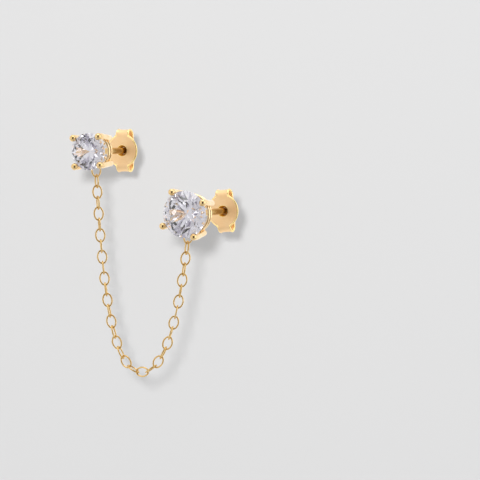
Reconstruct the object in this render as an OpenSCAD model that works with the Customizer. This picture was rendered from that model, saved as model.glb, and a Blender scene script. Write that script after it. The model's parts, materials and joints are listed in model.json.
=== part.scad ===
// Ear chain earring: two claw-set studs, joined by a cable chain that hangs between them.
// The large stud's post lies along +Y through the origin, which is in the middle of the ear lobe.

/* [Stones] */
// Diameter of the large stone
large_stone_d = 5; // [4.8:0.1:5.4]
// Diameter of the small stone
small_stone_d = 4; // [3.8:0.1:4.4]
// Width of the table across its corners, as a share of the stone's diameter
table_share = 0.57; // [0.5:0.01:0.64]
// Height of the crown, as a share of the stone's diameter
crown_share = 0.16; // [0.12:0.01:0.18]
// Depth of the pavilion, as a share of the stone's diameter
pavilion_share = 0.43; // [0.38:0.01:0.44]
// Thickness of the girdle
girdle_t = 0.14; // [0.08:0.01:0.2]

/* [Claws] */
// Diameter of a claw's wire
claw_d = 0.66; // [0.58:0.02:0.72]
// Diameter of a claw's neck, between the girdle and the bead
neck_d = 0.6; // [0.52:0.02:0.64]
// Diameter of the bead on a claw's tip
bead_d = 0.76; // [0.7:0.02:0.82]
// How far the bead's centre stands outside the stone's edge
bead_out = 0.18; // [0.14:0.01:0.22]
// How far the bead's centre stands in front of the girdle
bead_lead = 0.45; // [0.4:0.01:0.5]
// How far the claw's wire stands outside the stone's edge at the girdle
knee_out = 0.24; // [0.2:0.01:0.28]
// Clearance between the stone and its seat in the claws
seat_gap = 0.03; // [0.02:0.01:0.05]
// Turn of the large stud's claws from an upright cross
large_claw_turn = -15; // [-25:1:5]
// Turn of the small stud's claws from an upright cross
small_claw_turn = 5; // [-5:1:15]

/* [Rails] */
// Thickness of the rails' wire
rail_wire_d = 0.28; // [0.24:0.01:0.32]
// Diameter of the large setting's back rail, to the middle of the wire
large_rail_d = 3.92; // [3.84:0.02:4.04]
// Diameter of the small setting's back rail, to the middle of the wire
small_rail_d = 3.12; // [3.06:0.02:3.2]
// Distance of the front rail behind the girdle
front_rail_y = 1.6; // [1.5:0.05:1.7]
// Distance of the back rail behind the girdle
back_rail_y = 2.35; // [2.3:0.05:2.7]
// Thickness of the two bars that cross the back rail and carry the post
bar_d = 0.24; // [0.2:0.01:0.26]
// How far the middle of a claw's round end lies behind the back rail
heel_past = 0.06; // [0.04:0.01:0.1]
// Overlap of the claws with the rails, where they are soldered
solder_bite = 0.08; // [0.05:0.01:0.12]

/* [Posts] */
// Diameter of the posts
post_d = 0.7; // [0.64:0.02:0.8]
// Length of the large stud's post behind its back rail
large_post_l = 9.8; // [9.4:0.1:10.6]
// Length of the small stud's post behind its back rail
small_post_l = 8.1; // [7.7:0.1:9]
// Depth of the grip groove near a post's tip
groove_depth = 0.07; // [0.04:0.01:0.1]
// Width of the grip groove
groove_w = 0.5; // [0.3:0.05:0.7]
// Distance of the grip groove from the post's tip
groove_from_tip = 0.6; // [0.5:0.05:0.8]

/* [Ear backs] */
// Distance of the large stud's ear back behind its girdle, to the plate's face
large_back_y = 9.6; // [9:0.1:9.8]
// Distance of the small stud's ear back behind its girdle, to the plate's face
small_back_y = 7.9; // [7.4:0.1:8.1]
// Diameter of an ear back's plate
plate_d = 3.7; // [3.5:0.05:3.9]
// Thickness of the sheet
sheet_t = 0.24; // [0.2:0.01:0.28]
// Rounding of the plate's front edge
edge_r = 0.18; // [0.1:0.01:0.19]
// Width of the funnel that leads the post into the hole
funnel_d = 1.24; // [1.1:0.02:1.4]
// Depth of the funnel behind the plate's face
funnel_depth = 0.5; // [0.4:0.05:0.7]
// Clearance of the hole round the post
hole_gap = 0.06; // [0.03:0.01:0.08]
// Width of a wing
wing_w = 1.6; // [1.4:0.05:1.8]
// Height of an ear back over both wings
back_h = 4.65; // [4.5:0.05:4.9]
// Outer diameter of a wing's curl
curl_d = 1.4; // [1.3:0.05:1.5]
// Clearance of the wings' ends from the post
grip_gap = 0.03; // [0.02:0.01:0.05]
// Turn of the large stud's ear back about its post
large_back_turn = 6; // [-15:1:15]
// Turn of the small stud's ear back about its post
small_back_turn = 2; // [-15:1:15]

/* [Chain] */
// Number of links, an odd number
link_count = 35; // [33:2:37]
// Length of a link
link_l = 1.59; // [1.56:0.01:1.68]
// Width of a link
link_w = 1.16; // [1.12:0.01:1.22]
// Thickness of the links' wire
link_wire_d = 0.18; // [0.15:0.01:0.19]
// Clearance between two links
link_gap = 0.05; // [0.045:0.005:0.07]
// Clearance between an end link and its rail
rail_gap = 0.08; // [0.06:0.01:0.1]
// Turn of the two end links about the chain's own line
end_turn = 48; // [44:1:54]

/* [Hang] */
// Distance of the two posts from each other, sideways
post_spacing = 11.7; // [11:0.1:12.6]
// Height of the small stud's post above the large one's
post_rise = 6.3; // [5.4:0.1:7]

/* [Hidden] */
$fn = 64;
gold = [0.93, 0.75, 0.44];
clear = [0.82, 0.80, 0.86];

// The lobe lies in the middle of the large post's free stretch, and the origin with it
girdle_y = -(back_rail_y + large_back_y) / 2;
small_at = [-post_spacing, girdle_y, post_rise];
large_at = [0, girdle_y, 0];
post_tip_r = post_d / 4;
hole_d = post_d + 2 * hole_gap;
facets = 8;
step = 360 / facets;
eps = 0.01;

// The claws' middle line as points [out, behind the girdle], and the front rail that it carries
function claw_heel(rail_d) =
    [(rail_d + rail_wire_d + claw_d) / 2 - solder_bite, back_rail_y + heel_past];
function claw_knee(stone_d) = [stone_d / 2 + knee_out, 0];
function front_rail_r(stone_d, rail_d) =
    let (heel = claw_heel(rail_d), knee = claw_knee(stone_d))
    knee[0] + (heel[0] - knee[0]) * front_rail_y / heel[1]
    - (claw_d + rail_wire_d) / 2 + solder_bite;
large_front_r = front_rail_r(large_stone_d, large_rail_d);
small_front_r = front_rail_r(small_stone_d, small_rail_d);

function link_name(i) = str("link_", i < 10 ? "0" : "", i);

// The hanging line. Each link is a straight bar of one pitch, and the tangent of its slope grows
// evenly from link to link, as in any chain that hangs by its own weight. The growth and the place
// of the lowest link follow from the two points that the chain hangs between, the studs' axes.
// An end link reaches on over its rail's wire to the stud's axis.
pitch = link_l - 2 * link_wire_d - link_gap;
rail_hold = rail_wire_d / 2 + rail_gap - link_gap / 2;
small_reach = pitch - rail_hold + small_front_r;
large_reach = pitch - rail_hold + large_front_r;
reach = [for (i = [1 : link_count]) i == 1 ? small_reach : i == link_count ? large_reach : pitch];
ones = [for (i = [1 : link_count]) 1];

function slope(i, growth, lowest) = (i - lowest) * growth;
function across(growth, lowest) =
    [for (i = [1 : link_count]) reach[i - 1] / sqrt(1 + pow(slope(i, growth, lowest), 2))] * ones;
function climb(growth, lowest) =
    [for (i = [1 : link_count])
        let (t = slope(i, growth, lowest)) reach[i - 1] * t / sqrt(1 + t * t)] * ones;

// Halves the interval that holds the lowest link until the chain's ends differ by the posts' rise
function lowest_link(growth, from = 1, to = link_count, turns = 40) =
    let (middle = (from + to) / 2)
    turns == 0 ? middle
    : climb(growth, middle) > -post_rise ? lowest_link(growth, middle, to, turns - 1)
    : lowest_link(growth, from, middle, turns - 1);

// Halves the interval that holds the growth until the chain's ends are the posts' spacing apart
function slope_growth(from = 0.05, to = 5, turns = 40) =
    let (middle = (from + to) / 2)
    turns == 0 ? middle
    : across(middle, lowest_link(middle)) > post_spacing ? slope_growth(middle, to, turns - 1)
    : slope_growth(from, middle, turns - 1);

growth = slope_growth();
lowest = lowest_link(growth);
angles = [for (i = [1 : link_count]) atan(slope(i, growth, lowest))];
function along(i) = [cos(angles[i - 1]), 0, sin(angles[i - 1])];

// Middle of link i: the first hangs from the small stud's axis, and each next one from the last
small_joint = small_at + [0, front_rail_y, 0] + along(1) * (small_reach - pitch);
steps = [for (i = [1 : link_count]) along(i) * pitch];
joints = [for (i = 0, at = small_joint; i <= link_count; at = at + (i < link_count ? steps[i] : [0, 0, 0]),
    i = i + 1) at];
function link_at(i) = (joints[i - 1] + joints[i]) / 2;

// The end links turn to lie over their rails' wire, and the turn dies away towards the lowest link
function link_turn(i) =
    i < lowest ? -end_turn * (lowest - i) / (lowest - 1)
    : end_turn * (i - lowest) / (link_count - lowest);
function link_roll(i) = link_turn(i) + (i % 2 == 0 ? 90 : 0);

// Lays a piece that was made upright, round +Z, along +Y
module along_post() {
    rotate([-90, 0, 0]) children();
}

// A round brilliant on +Z with its girdle round the origin and its table below, towards -Z
module brilliant(d) {
    r = d / 2;
    table_r = r * table_share;
    table_z = -girdle_t / 2 - d * crown_share;
    culet_z = girdle_t / 2 + d * pavilion_share;
    edge_z = girdle_t / 2;
    star_r = (r + table_r) / 2 * 0.99;
    waist_r = r * 0.28;
    // The kite facets are flat: a star's tip and a waist's corner lie in their planes
    star_z = table_z + (star_r * cos(step / 2) - table_r) * (-edge_z - table_z) / (r - table_r);
    waist_z = culet_z - waist_r * cos(step / 2) * (culet_z - edge_z) / r;
    function ring(r, z, n, shift = 0) =
        [for (i = [0 : n - 1]) [r * cos((i + shift) * 360 / n), r * sin((i + shift) * 360 / n), z]];
    // Where each ring of corners starts in the list of points
    star = facets;
    front = star + facets;
    back = front + 2 * facets;
    waist = back + 2 * facets;
    culet = waist + facets;
    points = concat(
        ring(table_r, table_z, facets), ring(star_r, star_z, facets, 0.5),
        ring(r, -edge_z, 2 * facets), ring(r, edge_z, 2 * facets),
        ring(waist_r, waist_z, facets, 0.5), [[0, 0, culet_z]]
    );
    function next(i) = (i + 1) % facets;
    function last(i) = (i + facets - 1) % facets;
    function wide(i) = (i + 2 * facets) % (2 * facets);
    polyhedron(points, concat(
        [[for (i = [0 : facets - 1]) i]],
        [for (i = [0 : facets - 1]) [i, star + i, next(i)]],
        [for (i = [0 : facets - 1]) [i, star + last(i), front + 2 * i, star + i]],
        [for (i = [0 : facets - 1]) [star + i, front + 2 * i, front + 2 * i + 1]],
        [for (i = [0 : facets - 1]) [star + i, front + 2 * i + 1, front + wide(2 * i + 2)]],
        [for (i = [0 : 2 * facets - 1]) [front + i, back + i, back + wide(i + 1), front + wide(i + 1)]],
        [for (i = [0 : facets - 1]) [waist + i, back + 2 * i + 1, back + 2 * i]],
        [for (i = [0 : facets - 1]) [waist + i, back + wide(2 * i + 2), back + 2 * i + 1]],
        [for (i = [0 : facets - 1]) [culet, waist + i, back + 2 * i, waist + last(i)]]
    ));
}

// The room that a stone takes in its claws, with the seat's clearance round it
module stone_room(d) {
    r = d / 2 + seat_gap;
    half = girdle_t / 2 + seat_gap;
    crown = d * crown_share;
    table_r = r * table_share;
    rotate_extrude()
        polygon([
            [0, -half - crown], [table_r, -half - crown], [r, -half],
            [r, half], [0, half + d * pavilion_share]
        ]);
}

// Stands what was made on +Z at one point [out, z] in the plane of a claw, to lie towards another
module lay(from, to) {
    way = to - from;
    translate([from[0], 0, from[1]]) rotate([0, atan2(way[0], way[1]), 0]) children();
}

// A round wire on +Z, rounded off below z = 0 and past its length
module round_wire(d, length) {
    r = d / 2;
    rotate_extrude() {
        square([r, length]);
        intersection() {
            circle(r = r);
            translate([0, -r]) square(r);
        }
        translate([0, length]) intersection() {
            circle(r = r);
            square(r);
        }
    }
}

// A claw: a wire from the back rail out to the girdle, then a neck in to the bead over the crown,
// with the stone's seat cut into it
module claw(stone_d, rail_d) {
    heel = claw_heel(rail_d);
    knee = claw_knee(stone_d);
    tip = [stone_d / 2 + bead_out, -bead_lead];
    difference() {
        union() {
            lay(heel, knee) round_wire(claw_d, norm(knee - heel));
            lay(knee, tip) {
                cylinder(d = neck_d, h = norm(tip - knee));
                translate([0, 0, norm(tip - knee)]) sphere(d = bead_d);
            }
        }
        stone_room(stone_d);
    }
}

module rail(r) {
    rotate_extrude() translate([r, 0]) circle(d = rail_wire_d);
}

// The two bars across the back rail, from claw to claw, that carry the post
module back_bars(rail_d) {
    for (turn = [0, 90])
        rotate([0, 0, turn]) translate([-rail_d / 2, 0, 0])
            rotate([0, 90, 0]) cylinder(d = bar_d, h = rail_d);
}

// The post with its grip groove, from the back bars to its round tip
module post(post_l) {
    straight = post_l - post_tip_r;
    difference() {
        union() {
            cylinder(d = post_d, h = straight);
            translate([0, 0, straight]) cylinder(d1 = post_d, d2 = post_d - 2 * post_tip_r, h = post_tip_r);
        }
        translate([0, 0, post_l - groove_from_tip - groove_w]) difference() {
            cylinder(d = post_d + 1, h = groove_w);
            translate([0, 0, -eps]) cylinder(d = post_d - 2 * groove_depth, h = groove_w + 2 * eps);
        }
    }
}

// One setting in a single soldered piece: claws, rails, back bars and post
module setting(stone_d, rail_d, claw_turn, post_l) {
    color(gold) along_post() {
        rotate([0, 0, 45 - claw_turn]) {
            for (i = [0 : 3]) rotate([0, 0, 90 * i]) claw(stone_d, rail_d);
            translate([0, 0, back_rail_y]) back_bars(rail_d);
        }
        translate([0, 0, front_rail_y]) rail(front_rail_r(stone_d, rail_d));
        translate([0, 0, back_rail_y]) rail(rail_d / 2);
        translate([0, 0, back_rail_y]) post(post_l);
    }
}

// The plate of an ear back, with a rounded front edge and a funnel that narrows to the hole
module plate() {
    r = plate_d / 2;
    rotate_extrude() {
        polygon([
            [hole_d / 2, funnel_depth], [funnel_d / 2, 0], [r - edge_r, 0], [r - edge_r, sheet_t],
            [funnel_d / 2 + sheet_t, sheet_t], [hole_d / 2 + sheet_t, funnel_depth]
        ]);
        translate([r - edge_r, edge_r]) intersection() {
            circle(r = edge_r);
            translate([0, -edge_r]) square(edge_r);
        }
        translate([r - edge_r, edge_r]) square([edge_r, sheet_t - edge_r]);
    }
}

// A wing's outline from the side, with the plate's face to the left: up from the plate, round the
// curl and down behind the plate to the post
module wing_outline() {
    curl_r = curl_d / 2;
    inner_r = curl_r - sheet_t;
    curl_x = back_h / 2 - curl_r;
    root_x = plate_d / 2 - 2 * sheet_t;
    grip_x = post_d / 2 + grip_gap;
    // Outlines are drawn with the height above the post along X and the depth behind the face along Y
    translate([curl_x, curl_r]) difference() {
        circle(r = curl_r);
        circle(r = inner_r);
        translate([-curl_d, -curl_d]) square([curl_d, 2 * curl_d]);
    }
    translate([root_x, 0]) square([curl_x - root_x + eps, sheet_t]);
    polygon([
        [curl_x + eps, curl_d], [curl_x + eps, curl_d - sheet_t],
        [grip_x, curl_d + sheet_t / 2], [grip_x, curl_d + 1.5 * sheet_t]
    ]);
}

// One ear back: the plate with a curled wing above and below it, whose ends grip the post
module ear_back(turn) {
    color(gold) along_post() rotate([0, 0, -turn]) {
        plate();
        for (side = [90, -90])
            rotate([0, 0, side]) translate([0, wing_w / 2, 0]) rotate([90, 0, 0])
                linear_extrude(wing_w) wing_outline();
    }
}

// A ring of the links' wire round +Y, of which only the wedge between two corners is kept
module wire_arc(r, corners) {
    rotate([90, 0, 0]) intersection() {
        rotate_extrude() translate([r, 0]) circle(d = link_wire_d);
        linear_extrude(2 * link_wire_d, center = true) polygon(concat([[0, 0]], corners * link_l));
    }
}

// An oval link, long along +X and flat in the X-Z plane: two round ends and two long sides. The
// centres of an end's arc, of a side's arc and of the oval make a triangle with sides 3, 4 and 5,
// so the arcs run on smoothly into each other.
module oval_link() {
    half_l = (link_l - link_wire_d) / 2;
    half_w = (link_w - link_wire_d) / 2;
    end_x = (half_l - half_w) * 3 / 2;
    side_z = end_x * 4 / 3;
    for (side = [0, 180]) rotate([0, side, 0]) {
        translate([end_x, 0, 0]) wire_arc(half_l - end_x, [[3, -4], [3, 4]]);
        translate([0, 0, -side_z]) wire_arc(half_w + side_z, [[3, 4], [-3, 4]]);
    }
}

module link(i) {
    color(gold) translate(link_at(i)) rotate([0, -angles[i - 1], 0]) rotate([link_roll(i), 0, 0])
        oval_link();
}

module large_stone() {
    color(clear) translate(large_at) along_post() rotate([0, 0, -large_claw_turn]) brilliant(large_stone_d);
}

module small_stone() {
    color(clear) translate(small_at) along_post() rotate([0, 0, -small_claw_turn]) brilliant(small_stone_d);
}

module large_setting() {
    translate(large_at) setting(large_stone_d, large_rail_d, large_claw_turn, large_post_l);
}

module small_setting() {
    translate(small_at) setting(small_stone_d, small_rail_d, small_claw_turn, small_post_l);
}

module large_back() {
    translate(large_at + [0, large_back_y, 0]) ear_back(large_back_turn);
}

module small_back() {
    translate(small_at + [0, small_back_y, 0]) ear_back(small_back_turn);
}

large_stone();
small_stone();
large_setting();
small_setting();
large_back();
small_back();
for (i = [1 : link_count])
    link(i);
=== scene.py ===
"""Ear chain earring: finely worked pieces, metal and stone finishes, studio and camera, all laid round
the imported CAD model. Lengths are in millimetres until a piece's mesh is written, in metres. The stones
face -Y, the posts run towards +Y, and +Z is up."""

import json

import bmesh
import bpy
import numpy as np
from mathutils import Matrix


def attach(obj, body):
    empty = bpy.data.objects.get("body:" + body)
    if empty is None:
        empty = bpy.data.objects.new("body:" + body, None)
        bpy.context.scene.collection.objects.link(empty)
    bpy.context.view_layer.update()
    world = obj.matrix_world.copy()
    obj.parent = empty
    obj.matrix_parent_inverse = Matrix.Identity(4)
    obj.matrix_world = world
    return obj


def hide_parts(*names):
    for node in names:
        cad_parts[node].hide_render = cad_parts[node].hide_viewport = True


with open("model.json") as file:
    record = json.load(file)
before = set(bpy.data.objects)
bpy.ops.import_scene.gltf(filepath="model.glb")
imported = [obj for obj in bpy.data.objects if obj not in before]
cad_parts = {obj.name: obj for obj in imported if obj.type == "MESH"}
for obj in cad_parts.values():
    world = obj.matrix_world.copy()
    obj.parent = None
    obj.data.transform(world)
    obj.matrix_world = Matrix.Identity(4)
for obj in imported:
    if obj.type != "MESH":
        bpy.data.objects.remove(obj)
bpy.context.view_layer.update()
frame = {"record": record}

MM = 0.001
TURN = 2 * np.pi

# The named sizes of the part's source
STONE_D = {"large": 5.0, "small": 4.0}
TABLE, CROWN, PAVILION, GIRDLE = 0.57, 0.16, 0.43, 0.14
CLAW_D, NECK_D, BEAD_D = 0.66, 0.6, 0.76
BEAD_OUT, BEAD_LEAD, KNEE_OUT, SEAT_GAP = 0.18, 0.45, 0.24, 0.03
CLAW_TURN = {"large": -15, "small": 5}
RAIL_WIRE, RAIL_D = 0.28, {"large": 3.92, "small": 3.12}
FRONT_RAIL_Y, BACK_RAIL_Y = 1.6, 2.35
BAR_D, HEEL_PAST, SOLDER_BITE = 0.24, 0.06, 0.08
POST_D, POST_L = 0.7, {"large": 9.8, "small": 8.1}
GROOVE_DEPTH, GROOVE_W, GROOVE_FROM_TIP = 0.07, 0.5, 0.6
BACK_Y = {"large": 9.6, "small": 7.9}
PLATE_D, SHEET_T, FUNNEL_D, FUNNEL_DEPTH = 3.7, 0.24, 1.24, 0.5
WING_W, BACK_H, CURL_D, GRIP_GAP = 1.6, 4.65, 1.4, 0.03
BACK_TURN = {"large": 6, "small": 2}
LINKS, LINK_L, LINK_W, LINK_WIRE = 35, 1.59, 1.16, 0.18
LINK_GAP, RAIL_GAP, END_TURN = 0.05, 0.08, 48
POST_SPACING, POST_RISE = 11.7, 6.3

# The middle of each stone's girdle
GIRDLE_Y = -(BACK_RAIL_Y + BACK_Y["large"]) / 2
STUD_AT = {
    "large": np.array([0, GIRDLE_Y, 0]),
    "small": np.array([-POST_SPACING, GIRDLE_Y, POST_RISE]),
}


# Camera. The aim pixel shows the middle of the large stone's girdle, and the picture's top leans right.
# The distance is in millimetres, and the clipping planes in metres
AZIMUTH, ELEVATION, ROLL = np.radians([24.4, 3.6, 1.3])
DISTANCE, PIXELS_PER_MM, AIM_PIXEL = 250.0, 9.42, (184.5, 214.4)
FRAME_PIXELS, SENSOR = 480, 36.0
CLIP_NEAR, CLIP_FAR = 0.01, 10


def photo_axes():
    """The camera's right, up and backward directions: a camera that looks along +Y is swung round +Z by
    the azimuth, raised by the elevation and turned about its own line of sight by the roll."""
    back = np.array([
        np.sin(AZIMUTH) * np.cos(ELEVATION), -np.cos(AZIMUTH) * np.cos(ELEVATION), np.sin(ELEVATION)])
    level = np.array([np.cos(AZIMUTH), np.sin(AZIMUTH), 0])
    right = level * np.cos(ROLL) + np.cross(back, level) * np.sin(ROLL)
    return right, np.cross(back, right), back


RIGHT, UP, BACK = photo_axes()


def in_picture(right, up, near):
    """A place counted from the middle of the large girdle along the camera's axes."""
    return STUD_AT["large"] + RIGHT * right + UP * up + BACK * near


def stand(obj, at, right, up, back):
    """Puts a camera or light into the scene, turned to the three given directions."""
    bpy.context.scene.collection.objects.link(obj)
    axes = Matrix(np.column_stack([right, up, back]).tolist()).to_4x4()
    obj.matrix_world = Matrix.Translation((at * MM).tolist()) @ axes


def make_camera():
    data = bpy.data.cameras.new("photo_camera")
    data.sensor_width = SENSOR
    data.lens = PIXELS_PER_MM * DISTANCE / FRAME_PIXELS * SENSOR
    data.clip_start, data.clip_end = CLIP_NEAR, CLIP_FAR
    camera = bpy.data.objects.new("photo_camera", data)
    middle = FRAME_PIXELS / 2
    right, up = (middle - AIM_PIXEL[0]) / PIXELS_PER_MM, (AIM_PIXEL[1] - middle) / PIXELS_PER_MM
    stand(camera, in_picture(right, up, DISTANCE), RIGHT, UP, BACK)
    bpy.context.scene.camera = camera


# Surfaces. A part is a pair of its corners, as one array, and its faces, as lists of corner numbers. What
# is shorter than SLIVER is dissolved after a cut, and edges sharper than CREASE degrees stay sharp
SLIVER, MOST_CORNERS, CREASE = 0.0005, 4, 38


def skin(rings, loop=False):
    """Corners and faces of a closed surface that runs from ring to ring. rings[i, j] is point j on ring
    i. Each ring closes on itself. With loop the last ring joins the first, and otherwise each end is
    closed by triangles that meet in the middle of its ring. Faces are turned outwards: the signed
    volume, a sixth of the sum of the triple products of the triangles' corners, comes out positive."""
    count, width = rings.shape[:2]
    index = np.arange(count * width).reshape(count, width)
    rows = np.vstack([index, index[:1]]) if loop else index
    a, b = rows[:-1], rows[1:]
    quads = np.stack([a, b, np.roll(b, -1, 1), np.roll(a, -1, 1)], -1).reshape(-1, 4)
    points = rings.reshape(-1, 3)
    triangles = np.zeros((0, 3), int)
    if not loop:
        ends = np.stack([rings[0].mean(0), rings[-1].mean(0)])
        first, last, pole = index[0], index[-1], count * width
        triangles = np.concatenate([
            np.stack([first, np.roll(first, -1), np.full(width, pole)], -1),
            np.stack([np.roll(last, -1), last, np.full(width, pole + 1)], -1),
        ])
        points = np.concatenate([points, ends])
    fans = np.concatenate([triangles, quads[:, [0, 1, 2]], quads[:, [0, 2, 3]]])
    p, q, r = (points[fans[:, k]] - points.mean(0) for k in range(3))
    if np.sum(p * np.cross(q, r)) < 0:
        quads, triangles = quads[:, ::-1], triangles[:, ::-1]
    return points, quads.tolist() + triangles.tolist()


def tube(path, radius, side, width, loop=False):
    """A round tube along a path that lies in one plane: a ring of the given radius round each point of
    the path, square to the path's direction. side is the plane's normal, and the other way across the
    tube is the cross product of side and the path's direction."""
    path = np.asarray(path, float)
    way = np.roll(path, -1, 0) - np.roll(path, 1, 0) if loop else np.gradient(path, axis=0)
    way /= np.linalg.norm(way, axis=1, keepdims=True)
    side = np.asarray(side, float)
    across = np.cross(side, way)
    turn = np.arange(width) / width * TURN
    radius = np.broadcast_to(radius, len(path))[:, None, None]
    ring = np.cos(turn)[None, :, None] * across[:, None] + np.sin(turn)[None, :, None] * side
    return skin(path[:, None] + radius * ring, loop)


def lathe(profile, width, loop=False):
    """A turned piece round +Y: profile holds points [distance from the axis, depth along +Y], and each
    point (r, y) becomes the ring (r cos t, y, r sin t)."""
    r, y = np.asarray(profile, float).T[:, :, None]
    turn = np.arange(width) / width * TURN
    return skin(np.stack([r * np.cos(turn), y + 0 * turn, r * np.sin(turn)], -1), loop)


def moved(part, turn=0, at=(0, 0, 0)):
    """The part turned about +Y by some degrees, from +X towards +Z, and then shifted."""
    points, faces = part
    c, s = np.cos(np.radians(turn)), np.sin(np.radians(turn))
    x, y, z = points.T
    return np.stack([x * c - z * s, y, z * c + x * s], -1) + np.asarray(at, float), faces


def together(parts):
    """Several parts as one."""
    starts = np.cumsum([0] + [len(points) for points, _ in parts[:-1]]).tolist()
    faces = [[k + start for k in face] for start, (_, some) in zip(starts, parts) for face in some]
    return np.concatenate([points for points, _ in parts]), faces


def mesh_of(name, part, scale=MM):
    """The part as a mesh, in metres unless another scale is given."""
    points, faces = part
    mesh = bpy.data.meshes.new(name)
    mesh.from_pydata((points * scale).tolist(), [], faces)
    mesh.update()
    return mesh


def cut(part, tool):
    """The part without what lies inside the tool. Faces of more than four corners are split into
    triangles, and what has no area is dissolved, so that no sliver is left along the cut."""
    objects = [bpy.data.objects.new("cut", mesh_of("cut", p, 1)) for p in (part, tool)]
    for obj in objects:
        bpy.context.scene.collection.objects.link(obj)
    difference = objects[0].modifiers.new("cut", "BOOLEAN")
    difference.operation, difference.solver, difference.object = "DIFFERENCE", "EXACT", objects[1]
    clean = bmesh.new()
    clean.from_mesh(objects[0].evaluated_get(bpy.context.evaluated_depsgraph_get()).to_mesh())
    bmesh.ops.remove_doubles(clean, verts=clean.verts, dist=SLIVER)
    many = [f for f in clean.faces if len(f.verts) > MOST_CORNERS]
    bmesh.ops.triangulate(clean, faces=many, ngon_method="BEAUTY")
    bmesh.ops.dissolve_degenerate(clean, edges=clean.edges, dist=SLIVER)
    clean.verts.index_update()
    points = np.array([v.co[:] for v in clean.verts])
    faces = [[v.index for v in f.verts] for f in clean.faces]
    clean.free()
    for obj in objects:
        bpy.data.objects.remove(obj)
    return points, faces


def piece(name, part, finish, replaced, smooth=True):
    """Writes the part's mesh, gives it its finish, and lets it stand for the CAD node it replaces."""
    mesh = mesh_of(name, part)
    mesh.materials.append(finish)
    if smooth:
        mesh.shade_smooth()
        mesh.set_sharp_from_angle(angle=np.radians(CREASE))
    obj = bpy.data.objects.new(name, mesh)
    bpy.context.scene.collection.objects.link(obj)
    bodies = frame["record"]["behaviour"]["bodies"]
    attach(obj, next(body for body, nodes in bodies.items() if replaced in nodes))
    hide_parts(replaced)
    return obj


# Stones. The star tips lie a little inside the middle between table and girdle, and the half facets of
# the back end at the waist, a share of the stone's radius from its axis
STAR_SHARE, WAIST_SHARE = 0.99, 0.28


def brilliant(d, arc=6):
    """A round brilliant with its table towards -Y: eight table corners, star tips half way between
    them, and a round girdle. Every facet is the plane through three of those corners, and a facet that
    reaches the girdle ends in the curve where its plane meets the girdle's cylinder, worked out in arc
    steps for each sixteenth of the girdle."""
    r, table_r = d / 2, d / 2 * TABLE
    edge = GIRDLE / 2
    table_y, culet_y = -edge - d * CROWN, edge + d * PAVILION
    eighth, half = TURN / 8, TURN / 16
    star_r = (r + table_r) / 2 * STAR_SHARE
    star_y = table_y + (star_r * np.cos(half) - table_r) * (-edge - table_y) / (r - table_r)
    waist_r = r * WAIST_SHARE
    waist_y = culet_y - waist_r * np.cos(half) * (culet_y - edge) / r
    turn = np.arange(8) * eighth

    def ring(radius, y, angles):
        return np.stack([radius * np.cos(angles), y + 0 * angles, radius * np.sin(angles)], -1)

    def rim(tips, y):
        """Girdle points of the 16 half facets, as [facet, step], on the planes through their tips."""
        corners = np.arange(17) * half
        start, end = ring(r, y, corners[:-1]), ring(r, y, corners[1:])
        normal = np.cross(end - start, tips - start)[:, None]
        angles = corners[:-1, None] + np.linspace(0, 1, arc + 1) * half
        x, z = r * np.cos(angles), r * np.sin(angles)
        lift = normal[..., 0] * (x - start[:, :1]) + normal[..., 2] * (z - start[:, 2:])
        return np.stack([x, y - lift / normal[..., 1], z], -1)[:, :-1].reshape(-1, 3)

    table, star = ring(table_r, table_y, turn), ring(star_r, star_y, turn + half)
    waist = ring(waist_r, waist_y, turn + half)
    front, back = (rim(np.repeat(tips, 2, 0), y) for tips, y in ((star, -edge), (waist, edge)))
    points = np.concatenate([table, star, waist, [[0, culet_y, 0]], front, back])
    # Corner numbers: where each ring of corners starts, and the neighbours of corner i
    star0, waist0, culet, front0, girdle = 8, 16, 24, 25, 16 * arc
    back0 = front0 + girdle
    i, k, span = np.arange(8), np.arange(girdle), np.arange(arc + 1)
    following, before, beside = (i + 1) % 8, (i - 1) % 8, (k + 1) % girdle
    tip = 2 * i * arc
    halves = [(start[:, None] + span) % girdle for start in (tip, tip + arc)]
    faces = [[*range(8)]]
    faces += np.stack([i, star0 + i, following], -1).tolist()
    faces += np.stack([i, star0 + before, front0 + tip, star0 + i], -1).tolist()
    faces += [f for side in halves for f in np.column_stack([star0 + i, front0 + side]).tolist()]
    faces += np.stack([front0 + k, back0 + k, back0 + beside, front0 + beside], -1).tolist()
    faces += [f for side in halves for f in np.column_stack([waist0 + i, back0 + side[:, ::-1]]).tolist()]
    faces += np.stack([0 * i + culet, waist0 + i, back0 + tip, waist0 + before], -1).tolist()
    return points, faces


# Settings. A claw narrows over KNEE_BEND to each side of its knee, and its shaft's first ring is
# SHAFT_FROM past the round end. The post's side is straight for STRAIGHT_SHARE of its length. Round ends
# stop END_OPEN short of their poles, the post's tip at TIP_SHARE of its quarter circle, and the seat's
# outline AXIS_R from its axis, because skin() closes what is left
KNEE_BEND, END_OPEN, SHAFT_FROM = 0.06, 0.06, 0.08
STRAIGHT_SHARE, TIP_SHARE, AXIS_R = 0.8, 0.97, 0.01


def claw_line(size):
    """A claw's middle line as [out, depth] from its round end over its knee at the girdle to its bead."""
    heel = np.array([(RAIL_D[size] + RAIL_WIRE + CLAW_D) / 2 - SOLDER_BITE, BACK_RAIL_Y + HEEL_PAST])
    knee = np.array([STONE_D[size] / 2 + KNEE_OUT, 0])
    tip = np.array([STONE_D[size] / 2 + BEAD_OUT, -BEAD_LEAD])
    return heel, knee, tip


def front_rail_r(size):
    """The front rail is soldered to the claws' inner sides, which lean in as their line does."""
    heel, knee, _ = claw_line(size)
    out = knee[0] + (heel[0] - knee[0]) * FRONT_RAIL_Y / heel[1]
    return out - (CLAW_D + RAIL_WIRE) / 2 + SOLDER_BITE


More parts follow.
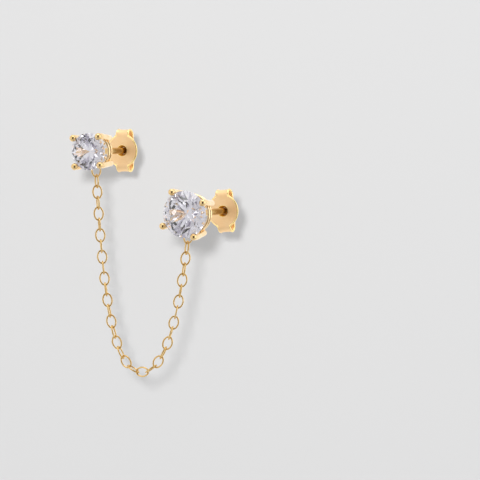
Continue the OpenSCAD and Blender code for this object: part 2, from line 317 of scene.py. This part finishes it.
def claw(size):
    """A tube along the claw's line, which runs straight to the knee and straight on to the tip. Its
    radius follows a quarter circle at the round end, the wire, a slightly thinner neck from the knee
    on, and the circle of the bead at the tip."""
    heel, knee, tip = claw_line(size)
    wire, neck, bead = CLAW_D / 2, NECK_D / 2, BEAD_D / 2
    long, short = np.linalg.norm(knee - heel), np.linalg.norm(tip - knee)
    quarter = np.linspace(END_OPEN, 1, 10) * TURN / 4
    shaft = np.linspace(SHAFT_FROM, long - 2 * KNEE_BEND, 14)
    bend = np.linspace(long - KNEE_BEND, long + KNEE_BEND, 5)
    ball = np.linspace(np.arccos(np.sqrt(bead**2 - neck**2) / bead), TURN / 2 - END_OPEN, 18)
    along = np.concatenate([-wire * np.cos(quarter), shaft, bend, long + short - bead * np.cos(ball)])
    radius = np.concatenate([
        wire * np.sin(quarter), np.full(len(shaft), wire), np.linspace(wire, neck, len(bend)),
        bead * np.sin(ball)])
    line = heel + (knee - heel) / long * np.minimum(along, long)[:, None]
    line += (tip - knee) / short * np.maximum(along - long, 0)[:, None]
    return tube(np.stack([line[:, 0], line[:, 1], 0 * along], -1), radius, (0, 0, 1), 32)


def stone_room(size):
    """The seat's clearance round the stone, turned from its outline."""
    d = STONE_D[size]
    r, half = d / 2 + SEAT_GAP, GIRDLE / 2 + SEAT_GAP
    front, back = -half - d * CROWN, half + d * PAVILION
    return lathe([[AXIS_R, front], [r * TABLE, front], [r, -half], [r, half], [AXIS_R, back]], 96)


def round_rail(radius):
    turn = np.arange(144) / 144 * TURN
    path = np.stack([radius * np.cos(turn), 0 * turn, radius * np.sin(turn)], -1)
    return tube(path, RAIL_WIRE / 2, (0, 1, 0), 20, loop=True)


def post(size):
    """A turned post: a straight side, a grip groove whose depth follows the square root of a sine, and
    a tip rounded by a quarter circle of half the post's radius."""
    r, length = POST_D / 2, POST_L[size]
    groove_end, round_r = length - GROOVE_FROM_TIP, r / 2
    straight = length * np.linspace(0, STRAIGHT_SHARE, 9)
    groove = np.linspace(0, 1, 13)
    quarter = np.linspace(0, TIP_SHARE, 9) * TURN / 4
    profile = np.concatenate([
        np.stack([0 * straight + r, straight], -1),
        np.stack([
            r - GROOVE_DEPTH * np.sin(groove * TURN / 2) ** 0.5, groove_end - GROOVE_W * (1 - groove)], -1),
        np.stack([
            r - round_r + round_r * np.cos(quarter), length - round_r + round_r * np.sin(quarter)], -1),
    ])
    return lathe(profile, 40)


def setting(size):
    """Four claws with the stone's seat cut into them, two rails, two bars across the back and the post."""
    angle = CLAW_TURN[size]
    claws = cut(together([moved(claw(size), 45 + 90 * k) for k in range(4)]), stone_room(size))
    reach = RAIL_D[size] / 2
    along = np.linspace(-reach, reach, 9)
    bar = tube(np.stack([along, 0 * along, 0 * along], -1), BAR_D / 2, (0, 1, 0), 16)
    parts = [
        moved(claws, angle),
        moved(bar, 45 + angle, (0, BACK_RAIL_Y, 0)),
        moved(bar, 135 + angle, (0, BACK_RAIL_Y, 0)),
        moved(round_rail(front_rail_r(size)), at=(0, FRONT_RAIL_Y, 0)),
        moved(round_rail(reach), at=(0, BACK_RAIL_Y, 0)),
        moved(post(size), at=(0, BACK_RAIL_Y, 0)),
    ]
    return moved(together(parts), at=STUD_AT[size])


# Ear backs. The sheet's ends are lifted by TAIL_LIFT half thicknesses, because its slant there brings a
# corner down. STRIP_CORNER rounds the ends, and the plate's circle counts up to PLATE_REACH into the curls.
# The drill that clears the funnel's place runs from DRILL_FROM to DRILL_TO
TAIL_LIFT, STRIP_CORNER, PLATE_REACH, EAR_RISE = 0.3, 0.3, 0.35, 0.11
COLLAR_GAP, COLLAR_PROUD = 0.02, 0.012
DRILL_FROM, DRILL_TO = -0.5, 0.8


def sheet_line():
    """The middle of the sheet from its upper to its lower end, as [depth, height] and the sheet's
    half width there. It runs from the post up to the curl, round the curl, down across the flat plate,
    and the same again below. The half width is the plate's circle and the wing's strip, run together
    by the sixth root of the sum of their sixth powers."""
    curl_r, mid = CURL_D / 2, SHEET_T / 2
    bend_r, top = curl_r - mid, BACK_H / 2 - curl_r
    grip = np.array([CURL_D + SHEET_T, POST_D / 2 + GRIP_GAP + TAIL_LIFT * mid])
    tail = grip + (np.array([CURL_D - mid, top]) - grip) * np.linspace(0, 1, 14)[:, None]
    turn = np.linspace(0, 1, 30)[1:] * TURN / 2
    curl = np.stack([curl_r + bend_r * np.cos(turn), top + bend_r * np.sin(turn)], -1)
    height = np.linspace(top, -top, 62)[1:-1]
    upper = np.concatenate([tail, curl])
    line = np.concatenate([upper, np.stack([0 * height + mid, height], -1), (upper * [1, -1])[::-1]])
    step = np.linalg.norm(np.diff(line, axis=0), axis=1)
    along = np.concatenate([[0], np.cumsum(step)])
    along = np.minimum(along, along[-1] - along)
    on_plate = along > along[len(upper) - 1] - PLATE_REACH
    disc = np.where(on_plate, np.sqrt(np.clip((PLATE_D / 2) ** 2 - line[:, 1] ** 2, 0, None)), 0)
    inset = 1 - np.clip(along / STRIP_CORNER, 0, 1)
    strip = WING_W / 2 - STRIP_CORNER * (1 - np.sqrt(np.clip(1 - inset**2, 0, 1)))
    return line, (disc**6 + strip**6) ** (1 / 6)


def bent_sheet():
    """The sheet's section, a strip with round edges as wide as the sheet is there, carried along the
    sheet's line. Round the curls the strip's edges turn up like small ears: they leave the strip by
    the fourth power of the way from its middle, most at the curl's top."""
    line, half = sheet_line()
    way = np.gradient(line, axis=0)
    way /= np.linalg.norm(way, axis=1, keepdims=True)
    out = np.stack([-way[:, 1], way[:, 0]], -1)
    mid = SHEET_T / 2
    turn = np.linspace(0, 1, 9) * TURN / 2
    share = np.sin(np.linspace(-1, 1, 33) * TURN / 4)[1:-1]
    # Once round the section: across as a share of the flat width, across beyond it, and through
    share_across, past, through = np.concatenate([
        np.stack([share, 0 * share, 0 * share + mid], -1),
        np.stack([0 * turn + 1, mid * np.sin(turn), mid * np.cos(turn)], -1),
        np.stack([-share, 0 * share, 0 * share - mid], -1),
        np.stack([0 * turn - 1, -mid * np.sin(turn), -mid * np.cos(turn)], -1),
    ]).T
    across = share_across * (half[:, None] - mid) + past
    curl_from = BACK_H / 2 - CURL_D / 2
    rise = np.clip((np.abs(line[:, 1]) - curl_from) / (CURL_D / 2), 0, 1)
    through = through - EAR_RISE * rise[:, None] * share_across**4
    depth_height = line[:, None] + through[..., None] * out[:, None]
    return skin(np.stack([across, depth_height[..., 0], depth_height[..., 1]], -1))


def funnel():
    """The collar that leads the post into the plate, turned from its wall: from the face's rim it
    narrows to the hole by the square of the way left, and the wall comes back behind the plate."""
    hole, rim = POST_D / 2 + COLLAR_GAP, FUNNEL_D / 2
    s = np.linspace(0, 1, 16)
    # The lip is rolled over the face's rim, and the wall's back spreads until it is behind the plate
    lip = np.array([[rim + 0.05, 0.004], [rim + 0.03, -0.008]])
    inner = np.stack([
        rim - (rim - hole) * (1 - (1 - s) ** 2), -COLLAR_PROUD + s * (FUNNEL_DEPTH + COLLAR_PROUD)], -1)
    outer = np.array([
        [hole + 0.1, FUNNEL_DEPTH], [hole + 0.2, FUNNEL_DEPTH - 0.05], [rim + 0.12, SHEET_T + 0.02],
        [rim + 0.14, SHEET_T - 0.06], [rim + 0.05, SHEET_T - 0.1]])
    return lathe(np.concatenate([lip, inner, outer]), 64, loop=True)


def ear_back(size):
    drill = lathe([[FUNNEL_D / 2, DRILL_FROM], [FUNNEL_D / 2, DRILL_TO]], 64)
    body = together([cut(bent_sheet(), drill), funnel()])
    return moved(body, BACK_TURN[size], STUD_AT[size] + [0, BACK_Y[size], 0])


# Chain. The slope's growth from link to link is sought between these
LEAST_GROWTH, MOST_GROWTH = 0.05, 5


def chain_places():
    """Each link's middle, slope and roll. The tangent of the slope grows evenly from link to link, as in
    a chain that hangs by its own weight. Halving an interval finds the lowest link and the growth
    for which the chain's ends meet the two studs' axes."""
    i = np.arange(1, LINKS + 1)
    pitch = LINK_L - 2 * LINK_WIRE - LINK_GAP
    hold = RAIL_WIRE / 2 + RAIL_GAP - LINK_GAP / 2
    reach = np.full(LINKS, pitch)
    reach[0] = pitch - hold + front_rail_r("small")
    reach[-1] = pitch - hold + front_rail_r("large")

    def ends(growth, lowest):
        t = (i - lowest) * growth
        return np.sum(reach / np.sqrt(1 + t * t)), np.sum(reach * t / np.sqrt(1 + t * t))

    def halve(low, high, goes_up, times=40):
        for _ in range(times):
            middle = (low + high) / 2
            low, high = (middle, high) if goes_up(middle) else (low, middle)
        return (low + high) / 2

    def lowest_for(growth):
        return halve(1, LINKS, lambda lowest: ends(growth, lowest)[1] > -POST_RISE)

    growth = halve(LEAST_GROWTH, MOST_GROWTH, lambda g: ends(g, lowest_for(g))[0] > POST_SPACING)
    lowest = lowest_for(growth)
    slope = np.arctan((i - lowest) * growth)
    way = np.stack([np.cos(slope), 0 * slope, np.sin(slope)], -1)
    first = STUD_AT["small"] + [0, FRONT_RAIL_Y, 0] + way[0] * (reach[0] - pitch)
    joints = first + np.concatenate([[[0, 0, 0]], np.cumsum(way * pitch, 0)])
    left, right = -END_TURN * (lowest - i) / (lowest - 1), END_TURN * (i - lowest) / (LINKS - lowest)
    turn = np.where(i < lowest, left, right) + np.where(i % 2 == 0, 90, 0)
    return (joints[:-1] + joints[1:]) / 2, slope, np.radians(turn)


def oval(steps=80):
    """An oval link of four arcs whose centres make triangles with sides 3, 4 and 5, long along +X."""
    half_l, half_w = (LINK_L - LINK_WIRE) / 2, (LINK_W - LINK_WIRE) / 2
    end_x = (half_l - half_w) * 3 / 2
    side_z = end_x * 4 / 3
    end_r, side_r = half_l - end_x, half_w + side_z
    open_angle = np.arctan2(4, 3)
    share = np.arange(steps // 4) / (steps // 4) * 2 - 1
    end, side = share * open_angle, share * (TURN / 4 - open_angle)
    tip = np.stack([end_x + end_r * np.cos(end), 0 * end, end_r * np.sin(end)], -1)
    flank = np.stack([-side_r * np.sin(side), 0 * side, -side_z + side_r * np.cos(side)], -1)
    half = np.concatenate([tip, flank])
    return tube(np.concatenate([half, half * [-1, 1, -1]]), LINK_WIRE / 2, (0, 1, 0), 14, loop=True)


def link(middle, slope, roll):
    """An oval link rolled about its length, then sloped in the plane the chain hangs in."""
    points, faces = oval()
    x, y, z = points.T
    y, z = y * np.cos(roll) - z * np.sin(roll), y * np.sin(roll) + z * np.cos(roll)
    x, z = x * np.cos(slope) - z * np.sin(slope), x * np.sin(slope) + z * np.cos(slope)
    return np.stack([x, y, z], -1) + middle, faces


# Finishes. Object coordinates are in metres, so that a noise of scale 900 has clouds a millimetre wide
GOLD, WARM_GOLD = (0.96, 0.77, 0.485, 1), (0.93, 0.64, 0.32, 1)
# Darker golds that the painted shade mixes the gold towards
SHADED_GOLD, SHADED_WARM_GOLD = (0.62, 0.4, 0.12, 1), (0.54, 0.33, 0.08, 1)
SATIN, WARM_SATIN, RING_GOLD = (0.99, 0.74, 0.44, 1), (0.96, 0.65, 0.34, 1), (0.96, 0.68, 0.38, 1)
EDGE_GOLD, COLLAR_GOLD = (0.98, 0.76, 0.34, 1), (1.0, 0.8, 0.38, 1)
STONE_TINT, PALE_STONE_TINT, STONE_INDEX = (0.82, 0.80, 0.88, 1), (0.88, 0.865, 0.93, 1), 2.0
MARK_DEPTH = 0.00003

# The ear backs' polished zones, in millimetres from the hole, and their roughness
COLLAR_FULL, COLLAR_END, EDGE_R, WING_EDGE, WING_FROM = 0.64, 0.68, 1.69, 0.65, 1.55
EDGE_FADE, ZONE_ROUGHNESS = 0.03, 0.26

# Painted shade in the gold: how deep at a link's sides and ends, on the post and at a bead's front, and
# where
SIDE_SHADE, END_SHADE, POST_SHADE, BEAD_SHADE = 0.55, 1.0, 0.8, 0.5
POST_SHADE_FROM, BEAD_SHADE_AT, ROUNDING = BACK_RAIL_Y + 0.3, 0.6, 0.01


def feed(tree, sockets, values):
    """Writes each value to the socket of its name or number, or links it if it is a socket itself."""
    for key, value in values.items():
        if isinstance(value, bpy.types.NodeSocket):
            tree.links.new(value, sockets[key])
        else:
            sockets[key].default_value = value


def node(tree, kind, inputs=None, **settings):
    """A shader node with its settings and its inputs."""
    made = tree.nodes.new(kind)
    for key, value in settings.items():
        setattr(made, key, value)
    feed(tree, made.inputs, inputs or {})
    return made


def noise(tree, where, scale, detail, roughness=0.5):
    return node(tree, "ShaderNodeTexNoise", {
        "Vector": where, "Scale": scale, "Detail": detail, "Roughness": roughness}).outputs[0]


def worked(tree, operation, *values):
    """The outcome of a Math node."""
    return node(tree, "ShaderNodeMath", dict(enumerate(values)), operation=operation).outputs[0]


def vector_length(tree, vector):
    return node(tree, "ShaderNodeVectorMath", {0: vector}, operation="LENGTH").outputs["Value"]


def progress(tree, value, none_at, all_at):
    """How far a value is on its way, from 0 to 1."""
    return node(tree, "ShaderNodeMapRange", {
        "Value": value, "From Min": none_at, "From Max": all_at, "To Min": 0, "To Max": 1}).outputs[0]


def mixed(tree, factor, a, b):
    """A mix of two colours, which a Mix node puts out third."""
    return node(tree, "ShaderNodeMix", {"Factor": factor, "A": a, "B": b}, data_type="RGBA").outputs[2]


def between(tree, factor, a, b):
    """A mix of two numbers, which a Mix node takes in as its third and fourth inputs."""
    return node(tree, "ShaderNodeMix", {"Factor": factor, 2: a, 3: b}).outputs[0]


def group(name, inputs, outputs):
    """An empty shader node group with named sockets."""
    tree = bpy.data.node_groups.new(name, "ShaderNodeTree")
    for way, sockets in (("INPUT", inputs), ("OUTPUT", outputs)):
        for label, kind, value in sockets:
            socket = tree.interface.new_socket(label, in_out=way, socket_type="NodeSocket" + kind)
            if value is not None:
                socket.default_value = value
    return tree, tree.nodes.new("NodeGroupInput").outputs, tree.nodes.new("NodeGroupOutput").inputs


def polish_group():
    """The marks of plated and polished metal: slow clouds of a warmer tone, and fine haze and hairline
    scratches one way, which roughen it together. The clouds and scratches stand in relief too."""
    tree, given, result = group("plated_polish", [
        ("Vector", "Vector", None), ("Metal", "Color", (1, 1, 1, 1)), ("Warm metal", "Color", (1, 1, 1, 1)),
        ("Gloss", "Float", 0.1), ("Haze", "Float", 0.1), ("Relief", "Float", 0.1),
    ], [("Color", "Color", None), ("Roughness", "Float", None), ("Normal", "Vector", None)])
    clouds = noise(tree, given["Vector"], 900, 3)
    haze = noise(tree, given["Vector"], 5200, 4, 0.6)
    stretched = node(tree, "ShaderNodeMapping", {
        "Vector": given["Vector"], "Rotation": (0.4, 0.9, 0.3), "Scale": (1, 14, 1)}).outputs[0]
    hair = noise(tree, stretched, 2600, 5, 0.7)
    marks = worked(tree, "MULTIPLY", haze, hair)
    height = worked(tree, "ADD", hair, clouds)
    bump = node(tree, "ShaderNodeBump", {
        "Height": height, "Strength": given["Relief"], "Distance": MARK_DEPTH})
    feed(tree, result, {
        "Color": mixed(tree, progress(tree, clouds, 0.35, 0.7), given["Metal"], given["Warm metal"]),
        "Roughness": worked(tree, "MULTIPLY_ADD", marks, given["Haze"], given["Gloss"]),
        "Normal": bump.outputs[0],
    })
    return tree


def rings_group():
    """The rings that turning leaves on a plate: waves of the distance from the hole, of uneven depth."""
    tree, given, result = group("turned_rings", [
        ("Vector", "Vector", None), ("Pitch", "Float", 0.12), ("Depth", "Float", 0.1),
        ("Normal", "Vector", None),
    ], [("Mask", "Float", None), ("Normal", "Vector", None)])
    turns = worked(tree, "DIVIDE", vector_length(tree, given["Vector"]), given["Pitch"])
    uneven = node(tree, "ShaderNodeTexNoise", {
        "W": turns, "Scale": 0.63, "Detail": 2}, noise_dimensions="1D").outputs[0]
    wave = worked(tree, "SINE", worked(tree, "MULTIPLY", turns, TURN))
    mask = worked(tree, "MULTIPLY_ADD", worked(tree, "MULTIPLY", wave, uneven), 0.5, 0.5)
    bump = node(tree, "ShaderNodeBump", {
        "Height": mask, "Strength": given["Depth"], "Distance": MARK_DEPTH, "Normal": given["Normal"]})
    feed(tree, result, {"Mask": mask, "Normal": bump.outputs[0]})
    return tree


def zones_group():
    """The polished parts of an ear back: the collar, within a distance from the hole, and the sheet's cut
    edge. The edge lies past EDGE_R from the hole on the round plate, and past WING_EDGE to each side of
    the middle on the wings, which begin WING_FROM above and below the hole."""
    tree, given, result = group("polished_zones", [
        ("Vector", "Vector", None), ("Color", "Color", (1, 1, 1, 1)), ("Roughness", "Float", 0.3),
    ], [("Color", "Color", None), ("Roughness", "Float", None)])
    apart = node(tree, "ShaderNodeVectorMath", {0: given["Vector"]}, operation="ABSOLUTE").outputs[0]
    aside = node(tree, "ShaderNodeSeparateXYZ", {0: apart}).outputs
    far = vector_length(tree, given["Vector"])
    collar = progress(tree, far, COLLAR_END, COLLAR_FULL)
    on_plate = worked(tree, "DIVIDE", far, EDGE_R)
    on_wing = worked(tree, "DIVIDE", aside["X"], WING_EDGE)
    wing = worked(tree, "GREATER_THAN", aside["Y"], WING_FROM)
    edge = progress(tree, between(tree, wing, on_plate, on_wing), 1, 1 + EDGE_FADE)
    bright = worked(tree, "MAXIMUM", collar, edge)
    feed(tree, result, {
        "Color": mixed(tree, collar, mixed(tree, edge, given["Color"], EDGE_GOLD), COLLAR_GOLD),
        "Roughness": between(tree, bright, given["Roughness"], ZONE_ROUGHNESS),
    })
    return tree


POLISH, RINGS, ZONES = polish_group(), rings_group(), zones_group()


def material(name):
    made = bpy.data.materials.new(name)
    made.use_nodes = True
    return made, made.node_tree, made.node_tree.nodes["Principled BSDF"].inputs


def on_object(tree):
    return node(tree, "ShaderNodeTexCoord").outputs["Object"]


def polished_gold():
    """Plated gold, painted darker where a piece's attribute of painted shade says so."""
    made, tree, shader = material("polished_gold")
    tone = node(tree, "ShaderNodeAttribute", attribute_name="painted_shade").outputs["Fac"]
    marks = node(tree, "ShaderNodeGroup", {
        "Vector": on_object(tree), "Metal": mixed(tree, tone, GOLD, SHADED_GOLD),
        "Warm metal": mixed(tree, tone, WARM_GOLD, SHADED_WARM_GOLD),
        "Gloss": 0.07, "Haze": 0.3, "Relief": 0.22}, node_tree=POLISH).outputs
    feed(tree, shader, {
        "Base Color": marks["Color"], "Roughness": marks["Roughness"], "Normal": marks["Normal"],
        "Metallic": 1})
    return made


def satin_gold():
    """Satin plate with turned rings between a polished collar and a polished cut edge."""
    made, tree, shader = material("satin_gold")
    flat = node(tree, "ShaderNodeUVMap", uv_map="plate").outputs[0]
    marks = node(tree, "ShaderNodeGroup", {
        "Vector": on_object(tree), "Metal": SATIN, "Warm metal": WARM_SATIN,
        "Gloss": 0.46, "Haze": 0.3, "Relief": 0.12}, node_tree=POLISH).outputs
    rings = node(tree, "ShaderNodeGroup", {
        "Vector": flat, "Pitch": 0.18, "Depth": 0.32, "Normal": marks["Normal"]}, node_tree=RINGS).outputs
    zones = node(tree, "ShaderNodeGroup", {
        "Vector": flat, "Color": mixed(tree, rings["Mask"], marks["Color"], RING_GOLD),
        "Roughness": marks["Roughness"]}, node_tree=ZONES).outputs
    feed(tree, shader, {
        "Base Color": zones["Color"], "Roughness": zones["Roughness"], "Normal": rings["Normal"],
        "Metallic": 1})
    return made


def clear_stone():
    """Clear stone with a faint veil in its tint."""
    made, tree, shader = material("clear_stone")
    veil = noise(tree, on_object(tree), 700, 2)
    feed(tree, shader, {
        "Base Color": mixed(tree, veil, STONE_TINT, PALE_STONE_TINT), "Roughness": 0.0,
        "IOR": STONE_INDEX, "Transmission Weight": 1})
    return made


def corners_of(obj):
    """The mesh's corners in millimetres."""
    places = np.zeros(len(obj.data.vertices) * 3)
    obj.data.vertices.foreach_get("co", places)
    return places.reshape(-1, 3) / MM


def plate_map(obj, size):
    """A UV map that holds each corner's place across and up from the hole, in millimetres, counted on
    the back before it was turned."""
    mesh = obj.data
    corners = np.zeros(len(mesh.loops), int)
    mesh.loops.foreach_get("vertex_index", corners)
    right, _, up = (corners_of(obj) - STUD_AT[size]).T
    c, s = np.cos(np.radians(BACK_TURN[size])), np.sin(np.radians(BACK_TURN[size]))
    flat = np.column_stack([right * c + up * s, up * c - right * s])[corners]
    mesh.uv_layers.new(name="plate").data.foreach_set("uv", flat.ravel())


def deepen(obj, tone):
    """Writes the attribute of painted shade, one value for each corner."""
    obj.data.attributes.new("painted_shade", "FLOAT", "POINT").data.foreach_set("value", tone)


def link_painted_shade(obj, middle):
    """Painted shade on a link: darker all over, and darker still from its sides to its ends, where it
    hooks into the next links, as the fourth power of the distance from the middle, counted in half links."""
    way = np.linalg.norm(corners_of(obj) - middle, axis=1) / (LINK_L / 2)
    return SIDE_SHADE + (END_SHADE - SIDE_SHADE) * way**4


def basket_painted_shade(obj, size):
    """Painted shade: the post, which lies in shade between the stud and the ear back, is painted one darker
    tone from a little behind the back bars to its tip. The claws are painted darker evenly along the beads,
    from the girdle's front edge to BEAD_SHADE_AT in front of its middle."""
    x, y, z = (corners_of(obj) - STUD_AT[size]).T
    bead = BEAD_SHADE * np.clip((-y - GIRDLE / 2) / (BEAD_SHADE_AT - GIRDLE / 2), 0, 1)
    on_post = (y > POST_SHADE_FROM) & (np.hypot(x, z) < POST_D / 2 + ROUNDING)
    return np.where(on_post, POST_SHADE, bead)


# Studio. Places are counted right, up and near along the camera's axes, from the large girdle
WORLD_STRENGTH = 0.75
BACKDROP_AT, BACKDROP_SIZE, BACKDROP_GREY, PAPER_ROUGHNESS = -20.9, 600, (0.498, 0.498, 0.5, 1), 0.9
WHITE, LILAC, PEACH = (1, 1, 1, 1), (0.9, 0.85, 1, 1), (1, 0.62, 0.36, 1)
LENS_BROWN, LENS_DARK = (0.045, 0.022, 0.01, 1), (0.01, 0.01, 0.01, 1)

# Name, middle, direction to its right, width, height, colour, strength of its glow, what sees it
CARDS = [
    ("brown_lens", (0, 0, 330), -RIGHT, 240, 520, LENS_BROWN, 0, "glossy"),
    ("dark_ring", (12, -22, 330), -RIGHT, 130, 110, LENS_DARK, 0, "transmission"),
    ("white_board", (0, 0, -20.8), RIGHT, 600, 600, WHITE, 1.08, "glossy"),
    ("plate_card", (-205, 10, 165), (-0.63, 0, -0.78), 190, 230, WHITE, 1.08, "glossy"),
    ("dusk_card", (20, -40, 345), -RIGHT, 300, 250, LILAC, 0.4, "transmission"),
    ("warm_card", (-230, -100, 170), (0.6, 0, 0.8), 110, 110, PEACH, 1.0, "transmission"),
    ("bright_card", (-100, 110, 250), -RIGHT, 50, 60, WHITE, 1.7, "transmission"),
]
# Name, place, width, height, power, whether reflections show it
SOFTBOXES = [
    ("key_light", (-14, 19, 270), 19, 19, 0.52, False),
    ("left_box", (-220, 40, 60), 200, 240, 0.05, True),
    ("right_box", (230, 40, 40), 200, 260, 0.23, True),
    ("top_box", (0, 230, 40), 260, 200, 0.28, True),
]


def plain_finish(name, colour, roughness):
    made, tree, shader = material(name)
    feed(tree, shader, {"Base Color": colour, "Roughness": roughness, "Specular IOR Level": 0})
    return made


def backdrop_paper():
    """Pale paper that is seen from its front alone, so that the views from behind look past it."""
    made = plain_finish("backdrop_paper", BACKDROP_GREY, PAPER_ROUGHNESS)
    tree = made.node_tree
    mix = node(tree, "ShaderNodeMixShader", {
        0: node(tree, "ShaderNodeNewGeometry").outputs["Backfacing"],
        1: tree.nodes["Principled BSDF"].outputs[0],
        2: node(tree, "ShaderNodeBsdfTransparent").outputs[0]})
    feed(tree, tree.nodes["Material Output"].inputs, {0: mix.outputs[0]})
    return made


def glowing(name, colour, strength):
    made, tree, _ = material(name)
    glow = node(tree, "ShaderNodeEmission", {"Color": colour, "Strength": strength})
    feed(tree, tree.nodes["Material Output"].inputs, {0: glow.outputs[0]})
    return made


def board(name, middle, right, width, height, made):
    """A flat board about its middle, which faces along the cross product of right and the camera's up."""
    right = np.asarray(right, float)
    corners = [
        in_picture(*middle) + right * width / 2 * a + UP * height / 2 * b
        for a, b in ((-1, -1), (1, -1), (1, 1), (-1, 1))]
    obj = bpy.data.objects.new(name, mesh_of(name, (np.array(corners), [[0, 1, 2, 3]])))
    obj.data.materials.append(made)
    bpy.context.scene.collection.objects.link(obj)
    return obj


def card(name, middle, right, width, height, colour, strength, seen_by):
    """A board that only reflections see ("glossy"), or only what the stones let through
    ("transmission"). It stands for something in the room round the camera."""
    finish = name + "_finish"
    made = glowing(finish, colour, strength) if strength else plain_finish(finish, colour, 1)
    obj = board(name, middle, right, width, height, made)
    obj.visible_camera = obj.visible_diffuse = obj.visible_shadow = False
    obj.visible_glossy, obj.visible_transmission = seen_by == "glossy", seen_by == "transmission"


def softbox(name, place, width, height, power, mirrored):
    """An area light that faces the middle of the large girdle."""
    data = bpy.data.lights.new(name, "AREA")
    data.shape, data.size, data.size_y, data.energy = "RECTANGLE", width * MM, height * MM, power
    at = in_picture(*place)
    back = (at - in_picture(0, 0, 0)) / np.linalg.norm(place)
    right = np.cross(UP, back)
    right /= np.linalg.norm(right)
    obj = bpy.data.objects.new(name, data)
    stand(obj, at, right, np.cross(back, right), back)
    obj.visible_glossy = mirrored


def make_studio():
    scene = bpy.context.scene
    scene.view_settings.view_transform = "Standard"
    world = bpy.data.worlds.new("studio")
    world.use_nodes = True
    feed(world.node_tree, world.node_tree.nodes["Background"].inputs, {
        "Color": WHITE, "Strength": WORLD_STRENGTH})
    scene.world = world
    board("backdrop", (0, 0, BACKDROP_AT), RIGHT, BACKDROP_SIZE, BACKDROP_SIZE, backdrop_paper())
    for values in CARDS:
        card(*values)
    for values in SOFTBOXES:
        softbox(*values)


# The object
make_camera()
gold, satin, clear = polished_gold(), satin_gold(), clear_stone()
for size in ("large", "small"):
    stone = moved(brilliant(STONE_D[size]), CLAW_TURN[size], STUD_AT[size])
    piece(size + "_brilliant", stone, clear, size + "_stone", smooth=False)
    basket = piece(size + "_basket", setting(size), gold, size + "_setting")
    # Painted shade on the post and towards the beads' fronts
    deepen(basket, basket_painted_shade(basket, size))
    plate_map(piece(size + "_butterfly", ear_back(size), satin, size + "_back"), size)
for number, place in enumerate(zip(*chain_places()), 1):
    ring = piece(f"oval_{number:02d}", link(*place), gold, f"link_{number:02d}")
    # Painted shade on each link, deepest at its ends
    deepen(ring, link_painted_shade(ring, place[0]))
make_studio()
